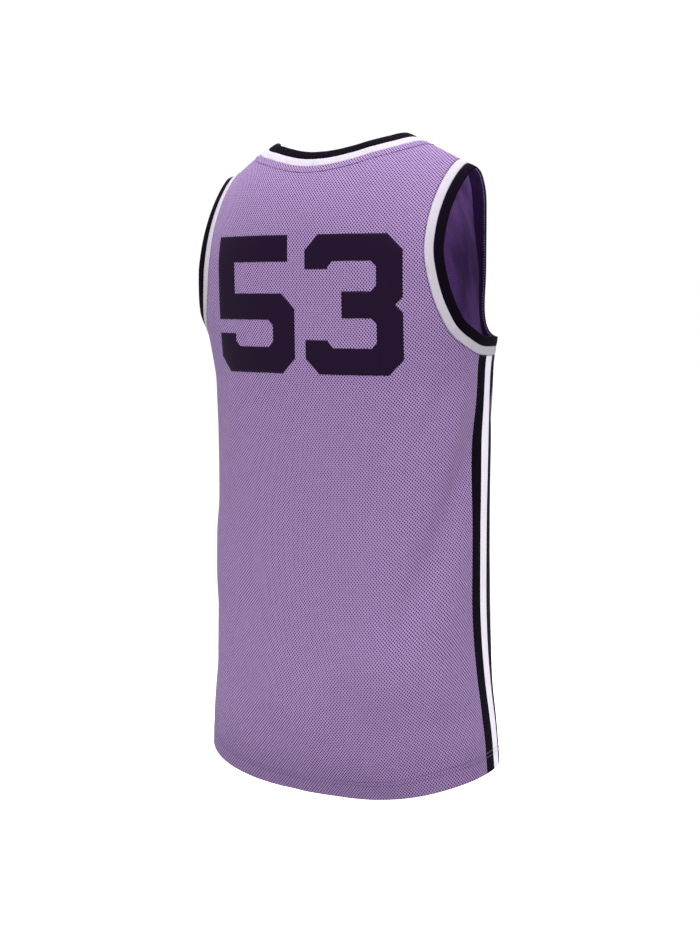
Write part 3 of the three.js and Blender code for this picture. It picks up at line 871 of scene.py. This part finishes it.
def two_faces(points, normals, from_hem, to_edge):
    """Outer and inner points of cloth that is rounded at its edges and double at the hem."""
    folded = 1 - smooth_share(from_hem, HEM_DEPTH, HEM_DEPTH + HEM_STEP)
    thick = between(MESH_CLOTH, HEM_CLOTH, folded)
    closing = edge_round(to_edge, thick)[..., None]
    inner = points - normals * (thick[..., None] - closing)
    return (points - normals * closing).reshape(-1, 3), inner.reshape(-1, 3)


def make_panel(name, face):
    outers, inners, uvs, index = [], [], [], []
    for sign in SIDES.values():
        place, points, normals, from_inner, joined = panel_grid(face, sign)
        turn, rise = place[..., 0], place[..., 1]
        from_hem, to_edge = lengths_from_hem(points)
        to_edge = np.minimum(to_edge, from_inner[:, -1:] - from_inner)
        neck_rows = np.arange(len(turn))[:, None] >= joined
        to_edge = np.where(neck_rows, np.minimum(to_edge, from_inner), to_edge)
        outer, inner = two_faces(points, normals, from_hem, to_edge)
        centre_turn = 0.0 if face == BACK else math.pi * sign
        first = sum(len(part) for part in outers)
        index.append(first + np.arange(turn.size).reshape(turn.shape))
        outers.append(outer)
        inners.append(inner)
        uvs.append(flat_place(turn * sign, rise, centre_turn).reshape(-1, 2))
    index[1][:joined, 0] = index[0][:joined, 0]
    cells = np.concatenate([grid_cells(index[0], face < 0), grid_cells(index[1], face > 0)])
    used, cells = np.unique(cells, return_inverse=True)
    cells = cells.reshape(-1, 4)
    stack = [np.concatenate(parts)[used] for parts in (outers, inners, uvs)]
    panel = cloth_wall(name, stack[0], stack[1], cells, stack[2], [lavender_mesh, violet_back])
    print(name, len(panel.data.polygons), "faces", round(area_of(panel), 3), "square metres")
    return panel


back_panel = make_panel("back_panel_cloth", BACK)
front_panel = make_panel("front_panel_cloth", FRONT)

# %% [markdown]
# ## Side stripes
#
# Each stripe is a narrow strip of knit, from the hem to the armhole band. Its two long edges
# round over into the seams beside it, so the three read as separate strips and not as paint.

# %% Stripes
STRIPE_COLUMNS = 10
STRIPE_NAMES = ["side_stripe_dark_back", "side_stripe_white", "side_stripe_dark_front"]


def make_stripe(edge, side):
    """The stripe between two seams, with the size of its cut."""
    sign = SIDES[side]
    width = STRIPE_EDGES[edge + 1] - STRIPE_EDGES[edge] - SEAM_GAP
    even, near = np.linspace(0, 1, STRIPE_COLUMNS + 1)[1:-1], ROUND_STEPS / width
    share = np.unique(np.concatenate([even, near, 1 - near]))
    tops = armhole_seam(between(stripe_tops[edge], stripe_tops[edge + 1], share))
    body = crowded(np.array([BODY_LENGTH]), BODY_ROWS)[0]
    rise = between(HEM_RISE, tops[None, :, 1], body[:, None])
    turn = between(stripe_turn(edge, rise) + HALF_GAP_TURN,
                   stripe_turn(edge + 1, rise) - HALF_GAP_TURN, share)
    points, normals = cloth(turn, rise, sign)
    from_hem, to_edge = lengths_from_hem(points)
    to_edge = np.minimum(to_edge, width * np.minimum(share, 1 - share))
    outer, inner = two_faces(points, normals, from_hem, to_edge)
    uv = np.stack([from_hem, width * share + 0 * from_hem], -1) * MM
    material = white_knit_painted_light if "white" in STRIPE_NAMES[edge] else dark_knit
    name = f"{STRIPE_NAMES[edge]}_{side}"
    index = np.arange(turn.size).reshape(turn.shape)
    stripe = cloth_wall(f"{name}_cloth", outer, inner, grid_cells(index, sign < 0),
                        uv.reshape(-1, 2), [material])
    return name, stripe, (width * MM, float(from_hem[-1].mean()) * MM)


stripes = [make_stripe(edge, side) for side in SIDES for edge in range(len(STRIPE_NAMES))]
print("stripes", [name for name, _, _ in stripes])

# %% [markdown]
# ## Neck and armhole bands
#
# A band lies beside its seam and reaches into the opening. At each step along the seam its
# direction is square to the seam and flat on the cloth, smoothed over the next few centimetres,
# so that it turns the corner over the shoulder without a pinch. Its section is a flat strip with
# a slight crown and round edges.

# %% Band loops
RIB_CLOTH = 1.8
BAND_CROWN = 0.35
NECK_RIB = {"white": 11.3, "dark": 11.3, "lean_back": 0.12, "lean_front": 0.12}
ARMHOLE_RIB = {
    "left": {"white": 10, "dark": 11, "lean_back": -0.17, "lean_front": 0.42},
    "right": {"white": 10, "dark": 11, "lean_back": -0.03, "lean_front": 0.42},
}
LEAN_CHANGES = 0.45, 0.95
BAND_STEPS_NECK, BAND_STEPS_ARM = 90, 150
BAND_STEPS_ACROSS = np.concatenate([ROUND_STEPS, [1.6, 2.8, 4.2]])
SMOOTHING = 30


def armhole_loop(sign):
    u = np.concatenate([
        np.linspace(0, stripe_tops[0], BAND_STEPS_ARM, endpoint=False),
        np.linspace(stripe_tops[0], stripe_tops[3], BAND_STEPS_ARM // 4, endpoint=False),
        np.linspace(stripe_tops[3], 1, BAND_STEPS_ARM, endpoint=False),
    ])
    points, normals = cloth(*armhole_seam(u).T, sign)
    return (points, normals) if sign > 0 else (points[::-1], normals[::-1])


def neck_loop():
    u = np.linspace(0, 1, BAND_STEPS_NECK + 1)
    left = np.concatenate([neck_seam[BACK](u), neck_seam[FRONT](u[:-1])[::-1]])
    right = left[1:-1][::-1]
    points, normals = zip(cloth(*left.T, 1), cloth(*right.T, -1))
    return np.concatenate(points), np.concatenate(normals)


def loop_steps(points):
    """Lengths from each point of a closed loop to the next."""
    return np.linalg.norm(np.roll(points, -1, axis=0) - points, axis=-1)


def smoothed_round(values, positions):
    """Values along a closed loop, averaged over SMOOTHING millimetres to each side."""
    steps = loop_steps(positions)
    at = np.insert(np.cumsum(steps), 0, 0)
    total, at = at[-1], at[:-1]
    gap = (at[:, None] - at[None] + total / 2) % total - total / 2
    weight = np.maximum(1 - np.abs(gap) / SMOOTHING, 0) * (steps + np.roll(steps, 1))[None]
    return weight @ values / weight.sum(1, keepdims=True)


def across_seam(loop):
    """Direction from a seam into its opening, flat on the cloth."""
    points, normals = loop
    along = np.roll(points, -1, axis=0) - np.roll(points, 1, axis=0)
    across = smoothed_round(unit(np.cross(along, normals)), points)
    return unit(across - normals * np.sum(across * normals, -1, keepdims=True))


def band_directions(loop, rib):
    """The way a band lies from its seam into the opening, and the way its outer face looks."""
    points, normals = loop
    across = across_seam(loop)
    forward = smooth_share(-normals[:, 1:2], *LEAN_CHANGES)
    lean = between(rib["lean_back"], rib["lean_front"], forward)
    return unit(across - normals * lean), unit(normals + across * lean)


def make_band(name, loop, start, width, rib, material):
    """A band of a width that starts at a length from its seam."""
    points, normals = loop
    direction, facing = band_directions(loop, rib)
    steps = [BAND_STEPS_ACROSS, width - BAND_STEPS_ACROSS, [width / 2]]
    steps = np.unique(np.concatenate(steps))
    closing = edge_round(np.minimum(steps, width - steps), RIB_CLOTH)
    crown = BAND_CROWN * (1 - (2 * steps / width - 1) ** 2)
    spine = points[:, None] + direction[:, None] * (start + steps)[None, :, None]
    turned = smooth_share(start + steps, SEAM_GAP, SEAM_GAP + RIB_CLOTH)[None, :, None]
    facing = unit(between(normals[:, None], facing[:, None], turned))
    outer = spine + facing * (crown - closing)[None, :, None]
    inner = spine - facing * (RIB_CLOTH - closing)[None, :, None]
    index = np.arange(len(points) * len(steps)).reshape(len(points), len(steps))
    index = np.vstack([index, index[:1]])
    walk = np.insert(np.cumsum(loop_steps(points)), 0, 0)[:-1, None]
    uv = np.stack([steps[None] + 0 * walk, walk + 0 * steps], -1) * MM
    band = cloth_wall(f"{name}_cloth", outer.reshape(-1, 3), inner.reshape(-1, 3),
                      grid_cells(index, turned=True), uv.reshape(-1, 2), [material, violet_knit])
    middle = points + direction * (start + width / 2)
    return name, band, (width * MM, float(loop_steps(middle).sum()) * MM)


def make_bands(name, ending, loop, rib):
    dark_start = rib["white"] + 2 * SEAM_GAP
    return [
        make_band(f"{name}_white{ending}", loop, SEAM_GAP, rib["white"], rib, white_knit),
        make_band(f"{name}_dark{ending}", loop, dark_start, rib["dark"], rib, dark_knit),
    ]


bands = make_bands("neck_rib", "", neck_loop(), NECK_RIB)
for side, sign in SIDES.items():
    bands += make_bands("armhole_rib", f"_{side}", armhole_loop(sign), ARMHOLE_RIB[side])
for name, band, size in bands:
    print(name, [round(x / MM) for x in size], "mm")

# %% [markdown]
# ## The number
#
# A jersey carries a large block number on its back, as a thin film pressed onto the mesh, so
# that the eyelets still show faintly through it. The digits are drawn here with cut corners, a
# plain sports style, from their width w, height h, stroke s, cut corner c and inner corner k.
# Each digit is laid out flat, cut into small cells, and then carried onto the back panel by its
# flat map.

# %% Digits as flat outlines
DIGIT_HEIGHT, DIGIT_WIDTH, DIGIT_STROKE, DIGIT_GAP = 152.4, 115, 29, 14
NUMBER_TOP_HEIGHT = -97
CORNER = 17
INNER_CORNER = 6
FIVE_WAIST = 0.42
NUMBER = "53"


def five(w, h, s, c, k):
    waist = h - h * FIVE_WAIST
    return [
        (0, c), (c, 0), (w - c, 0), (w, c), (w, waist - c), (w - c, waist),
        (s, waist), (s, h - s), (w - c / 2, h - s), (w - c / 2, h), (0, h),
        (0, waist - s), (w - s - k, waist - s), (w - s, waist - s - k),
        (w - s, s + k), (w - s - k, s), (s + k, s), (s, s + k),
        (s, s + k + c / 2), (0, s + k + c / 2),
    ]


def three(w, h, s, c, k):
    middle = h / 2
    return [
        (0, c), (c, 0), (w - c, 0), (w, c),
        (w, middle - c / 2), (w - c / 2, middle), (w, middle + c / 2),
        (w, h - c), (w - c, h), (c, h), (0, h - c),
        (0, h - s - c / 2), (s, h - s - c / 2), (s, h - s - k), (s + k, h - s),
        (w - s - k, h - s), (w - s, h - s - k), (w - s, middle + s / 2 + k),
        (w - s - k, middle + s / 2), (s + c, middle + s / 2), (s + c, middle - s / 2),
        (w - s - k, middle - s / 2), (w - s, middle - s / 2 - k), (w - s, s + k), (w - s - k, s),
        (s + k, s), (s, s + k), (s, s + c / 2), (0, s + c / 2),
    ]


DIGITS = {"5": five, "3": three}
FILM_CELL = 3.5


def flat_number():
    """A flat mesh of all digits, centred across, cut into small cells, in millimetres."""
    flat = bmesh.new()
    whole = len(NUMBER) * DIGIT_WIDTH + (len(NUMBER) - 1) * DIGIT_GAP
    for place, digit in enumerate(NUMBER):
        left = place * (DIGIT_WIDTH + DIGIT_GAP) - whole / 2
        outline = DIGITS[digit](DIGIT_WIDTH, DIGIT_HEIGHT, DIGIT_STROKE, CORNER, INNER_CORNER)
        flat.faces.new([flat.verts.new((left + x, y, 0)) for x, y in outline])
    flat.normal_update()
    bmesh.ops.triangulate(flat, faces=flat.faces[:])
    for axis, low, high in (("X", -whole / 2, whole / 2), ("Y", 0, DIGIT_HEIGHT)):
        normal = Vector((axis == "X", axis == "Y", 0))
        for cut in np.arange(low + FILM_CELL, high, FILM_CELL):
            geometry = flat.verts[:] + flat.edges[:] + flat.faces[:]
            bmesh.ops.bisect_plane(flat, geom=geometry, plane_co=normal * cut, plane_no=normal)
    return flat


number_flat = flat_number()
print("number cells", len(number_flat.faces))

# %% [markdown]
# The wearer's right is on the left as one looks at the back, so the number reads along -X. A
# point of the film is found on the cloth by its length from the centre back and its height.

# %% Number on the cloth
FILM_LIFT, FILM_THICK = 0.12, 0.16
FILM_COLOUR, FILM_SHADE = srgb(22, 9, 29), srgb(13, 4, 18)
FILM_DIMPLE = 0.15 * MM
CARRY_ROUNDS = 12


def carry_to_back(across, height):
    """Turn and rise of places on the back, by cloth length from the centre and by height."""
    turn = across / FOLD_RADIUS
    rise = height + 0 * turn
    for _ in range(CARRY_ROUNDS):
        turn = turn + (across - read_grid(round_length, turn, rise)) / FOLD_RADIUS
        rise = rise + (height - worn_point(turn, rise)[..., 2])
    return turn, rise


def new_film():
    material, shader = new_material("number_film", FILM_COLOUR, 0.5, specular=0.03)
    n = Nodes(material)
    across, up, _ = n.cloth_lengths()
    lattice = eyelet_lattice(n, across, up)
    colour = n.mix(n.remap(lattice, 0.2, 0.9), FILM_COLOUR, FILM_SHADE)
    n.put(colour, shader.inputs["Base Color"])
    n.bump(n.math("MULTIPLY", lattice, -0.5), FILM_DIMPLE, shader)
    return material


film_material = new_film()
number_flat.verts.ensure_lookup_table()
flat_spots = np.array([v.co[:2] for v in number_flat.verts])
film_turn, film_rise = carry_to_back(
    -flat_spots[:, 0], NUMBER_TOP_HEIGHT - DIGIT_HEIGHT + flat_spots[:, 1])
film_points, film_normals = cloth(film_turn, film_rise)
film_mesh = bpy.data.meshes.new("back_number")
film_faces = [[v.index for v in face.verts] for face in number_flat.faces]
film_out = film_points + film_normals * (FILM_LIFT + FILM_THICK)
film_in = film_points + film_normals * FILM_LIFT
film_count = len(film_out)
rim = [(e.verts[0].index, e.verts[1].index, e.link_faces[0])
       for e in number_flat.edges if e.is_boundary]


def rim_face(a, b, face):
    """The narrow face under a rim edge, in the order that makes it look outward."""
    order = [v.index for v in face.verts]
    if order[(order.index(a) + 1) % len(order)] == b:
        a, b = b, a
    return a, b, b + film_count, a + film_count


walls = [rim_face(*edge) for edge in rim]
film_mesh.from_pydata(
    (np.vstack([film_out, film_in]) * MM).tolist(), [],
    [face[::-1] for face in film_faces] + [[i + film_count for i in face] for face in film_faces]
    + [wall[::-1] for wall in walls])
film_uv = flat_place(film_turn, film_rise)
film_layer = film_mesh.uv_layers.new(name="cloth")
for loop in film_mesh.loops:
    film_layer.uv[loop.index].vector = film_uv[loop.vertex_index % film_count]
film_mesh.materials.append(film_material)
film_mesh.shade_smooth()
back_number = add_object("back_number", film_mesh)
number_flat.free()
print("number film", len(film_mesh.polygons), "faces")

# %% [markdown]
# ## Stitches
#
# Seams read as sewn only when their stitches show. Every stitch here is a short length of
# thread: a little spindle with five sides. A row of them is made by walking a line on the cloth
# and setting one spindle for each stitch, and all the spindles of a row are one mesh.

# %% Rows of stitches
SPINDLE_SIDES = 5
SPINDLE_RINGS = measures(
    "along girth sink",
    (-0.5, 0.35, 0.75), (-0.3, 0.95, 0.1), (0.3, 0.95, 0.1), (0.5, 0.35, 0.75),
)
THREAD_LIFT = 0.35
THREAD_SHADE, TWIST_SCALE = 0.8, 900


def new_thread(name, colour):
    material, shader = new_material(name, colour, 0.45, 0.2)
    n = Nodes(material)
    coordinates = n.tree.nodes.new("ShaderNodeTexCoord")
    twist = n.noise(coordinates.outputs["Object"], TWIST_SCALE, 1)
    shade = tuple(c * THREAD_SHADE for c in colour)
    n.put(n.mix(twist, shade, colour), shader.inputs["Base Color"])
    return material


lilac_thread = new_thread("lilac_thread", srgb(168, 156, 182))
grey_thread = new_thread("grey_thread", srgb(104, 84, 124))
purple_thread = new_thread("purple_thread", srgb(50, 30, 68))


def spindles(starts, ends, facing, thread):
    """Points and faces of spindles of thread from starts to ends, lying on the cloth."""
    middle, reach = (starts + ends) / 2, ends - starts
    side = unit(np.cross(reach, facing))
    angle = np.arange(SPINDLE_SIDES) * 2 * np.pi / SPINDLE_SIDES
    rings = []
    for along, girth, sink in zip(*SPINDLE_RINGS.values()):
        centre = middle + reach * along + facing * thread * (THREAD_LIFT - sink)
        radius = thread / 2 * girth
        ring = (centre[:, None] + side[:, None] * (radius * np.cos(angle))[None, :, None]
                + facing[:, None] * (radius * np.sin(angle))[None, :, None])
        rings.append(ring)
    points = np.stack(rings, 1)
    stitches, count = len(starts), len(rings) * SPINDLE_SIDES
    number = np.arange(count).reshape(len(rings), SPINDLE_SIDES)
    turned = np.roll(number, -1, axis=1)
    sides = np.stack([number[:-1], number[1:], turned[1:], turned[:-1]], -1).reshape(-1, 4)
    offset = (np.arange(stitches) * count)[:, None, None]
    faces = (sides[None] + offset).reshape(-1, 4).tolist()
    for cap in (number[0], number[-1][::-1]):
        faces += (cap[None, None] + offset).reshape(-1, SPINDLE_SIDES).tolist()
    return points.reshape(-1, 3), faces


def stitch_row(points, facing, stitch, gap):
    """Starts, ends and directions of the stitches along a closed line of points."""
    points, facing = np.vstack([points, points[:1]]), np.vstack([facing, facing[:1]])
    walk = np.insert(np.cumsum(np.linalg.norm(np.diff(points, axis=0), axis=-1)), 0, 0)
    count = int(walk[-1] // (stitch + gap))
    pitch = walk[-1] / count
    begins = np.arange(count) * pitch
    spots = (begins, points), (begins + pitch - gap, points), (begins + pitch / 2, facing)
    return [np.stack([np.interp(at, walk, values[:, k]) for k in range(3)], -1)
            for at, values in spots]


def thread_piece(name, rows, material, thread):
    """Joins several rows of stitches into one piece."""
    vertices, faces = [], []
    for starts, ends, facing in rows:
        points, cells = spindles(starts, ends, unit(facing), thread)
        shift = sum(len(part) for part in vertices)
        vertices.append(points)
        faces += [[i + shift for i in cell] for cell in cells]
    mesh = bpy.data.meshes.new(name)
    mesh.from_pydata((np.vstack(vertices) * MM).tolist(), [], faces)
    mesh.materials.append(material)
    mesh.shade_smooth()
    print(name, sum(len(row[0]) for row in rows), "stitches")
    return add_object(name, mesh)


# %% [markdown]
# The hem is held by a twin needle: two parallel rows outside, and inside a looper thread that
# zigzags between them. The neck has one row of dark thread on the body, 8 mm from the band, and
# the armholes have one close to the band. Inside, a row of light stitches holds the lining of
# each band near its free edge.

# %% Sewing of the hem, the neck and the armholes
HEM_STEPS = 720
STITCH, STITCH_GAP = 2.7, 0.7
TOP_STITCH_GAP = 0.25
NECK_TOPSTITCH = 8
ARMHOLE_TOPSTITCH = 1.0
LINING_STITCH, LINING_GAP, LINING_FROM_EDGE = 2.0, 1.2, 2.4
FINE_THREAD, STRONG_THREAD = 0.45, 0.62
LOOPER_STEP = 3
hem_turn = np.linspace(-np.pi, np.pi, HEM_STEPS, endpoint=False)


def hem_line(length, lift=0.0):
    """A line round the cloth at a length above the hem's edge."""
    stretch = read_grid(up_length, hem_turn, HEM_RISE + HEM_ROWS[1]) / HEM_ROWS[1]
    points, normals = cloth(hem_turn, HEM_RISE + length / stretch)
    return points + normals * lift, normals


def beside_seam(loop, distance):
    """A line on the cloth at a distance outside a band's seam."""
    points, normals = loop
    return points - across_seam(loop) * distance, normals


def lining_line(loop, rib):
    """A line on the inner face of a dark band, near its free edge."""
    direction, facing = band_directions(loop, rib)
    reach = rib["white"] + rib["dark"] + 2 * SEAM_GAP - LINING_FROM_EDGE
    return loop[0] + direction * reach - facing * RIB_CLOTH, -facing


hem_rows = [stitch_row(*hem_line(length), STITCH, STITCH_GAP) for length in HEM_ROWS]
hem_stitches = thread_piece("hem_stitches", hem_rows, grey_thread, FINE_THREAD)
low, facing = hem_line(HEM_ROWS[0], -HEM_CLOTH)
high, _ = hem_line(HEM_ROWS[1], -HEM_CLOTH)
zigzag = [(a[:-1:LOOPER_STEP], b[1::LOOPER_STEP], -facing[:-1:LOOPER_STEP])
          for a, b in ((low, high), (high, low))]
hem_looper = thread_piece("hem_looper_thread", zigzag, grey_thread, FINE_THREAD)

neck = neck_loop()
armholes = {side: armhole_loop(sign) for side, sign in SIDES.items()}
top_lines = [beside_seam(neck, NECK_TOPSTITCH)]
top_lines += [beside_seam(loop, ARMHOLE_TOPSTITCH) for loop in armholes.values()]
top_rows = [stitch_row(*line, STITCH, TOP_STITCH_GAP) for line in top_lines]
top_stitches = thread_piece("top_stitches", top_rows, purple_thread, STRONG_THREAD)
lining_lines = [lining_line(neck, NECK_RIB)]
lining_lines += [lining_line(armholes[side], ARMHOLE_RIB[side]) for side in SIDES]
lining_rows = [stitch_row(*line, LINING_STITCH, LINING_GAP) for line in lining_lines]
lining_stitches = thread_piece("lining_stitches", lining_rows, lilac_thread, STRONG_THREAD)

# %% [markdown]
# ## Onto the frame
#
# Every piece rides on the one body, and each cloth piece stands for its solid, which is hidden.

# %% Ride and replace
def declare_panel(piece, node):
    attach(piece, "root")
    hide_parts(node)
    uv = np.empty(len(piece.data.loops) * 2, np.float32)
    piece.data.uv_layers["cloth"].uv.foreach_get("vector", uv)


declare_panel(back_panel, "back_panel")
declare_panel(front_panel, "front_panel")
for name, piece, size in stripes + bands:
    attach(piece, "root")
    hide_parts(name)
for piece, slot in ((back_number, "trim_dark"), (hem_stitches, "mesh_body"),
                    (hem_looper, "mesh_body"), (top_stitches, "trim_dark"),
                    (lining_stitches, "trim_white")):
    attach(piece, "root")

# %% [markdown]
# ## Floor and light
#
# The photo is a catalogue picture on white, lit softly from above. A pale floor lies well below
# the hem. The surroundings are white and grow brighter overhead, like a studio's ceiling, and
# two large lamps give soft light from high up, one behind the jersey and one in front of it.

# %% Floor
FLOOR_BELOW_HEM = 0.45
FLOOR_REACH = 20
FLOOR_PAINT, FLOOR_PAINT_LIGHT = (0.75, 0.75, 0.75), (0.77, 0.77, 0.77)
floor_height = frame_box[0][2] - FLOOR_BELOW_HEM
floor_corners = [(x * FLOOR_REACH, y * FLOOR_REACH, floor_height)
                 for x, y in ((-1, -1), (1, -1), (1, 1), (-1, 1))]
floor_mesh = bpy.data.meshes.new("floor")
floor_mesh.from_pydata(floor_corners, [], [(0, 1, 2, 3)])
floor = add_object("floor", floor_mesh)
floor_material, floor_shader = new_material("floor_paint", FLOOR_PAINT, 0.9)
n = Nodes(floor_material)
floor_place = n.tree.nodes.new("ShaderNodeTexCoord").outputs["Object"]
n.put(n.mix(n.noise(floor_place, 3), FLOOR_PAINT, FLOOR_PAINT_LIGHT),
      floor_shader.inputs["Base Color"])
floor_mesh.materials.append(floor_material)
print("floor at", round(floor_height, 3), "m")

# %% Lamps and surroundings
WALL_LIGHT, CEILING_LIGHT = 1.0, 1.6
LAMP_DISTANCE, LAMP_SIZE = 3.2, 1.6
BODY_MIDDLE = Vector((0, 0, -0.3))
world = bpy.data.worlds.new("studio")
world.use_nodes = True
world_background = world.node_tree.nodes["Background"]
world_background.inputs[0].default_value = (1, 1, 1, 1)
studio = Nodes(world)
direction = studio.tree.nodes.new("ShaderNodeTexCoord").outputs["Generated"]
split = studio.tree.nodes.new("ShaderNodeSeparateXYZ")
studio.put(direction, split.inputs[0])
studio.put(studio.remap(split.outputs[2], 0.0, 1.0, WALL_LIGHT, CEILING_LIGHT),
           world_background.inputs[1])
bpy.context.scene.world = world
bpy.context.scene.view_settings.view_transform = "Standard"


def lamp(name, azimuth, elevation, power):
    """A square soft lamp that looks at the middle of the jersey. Azimuth 0 is in front, at -Y."""
    light = bpy.data.lights.new(name, "AREA")
    light.shape = "SQUARE"
    light.size = LAMP_SIZE
    light.energy = power
    a, e = math.radians(azimuth), math.radians(elevation)
    away = Vector((math.sin(a) * math.cos(e), -math.cos(a) * math.cos(e), math.sin(e)))
    lamp_object = add_object(name, light)
    lamp_object.location = BODY_MIDDLE + away * LAMP_DISTANCE
    lamp_object.rotation_euler = (-away).to_track_quat("-Z", "Y").to_euler()
    print(name, power, "watts")


lamp("lamp_above_back", azimuth=203, elevation=66, power=175)
lamp("lamp_above_front", azimuth=20, elevation=62, power=95)
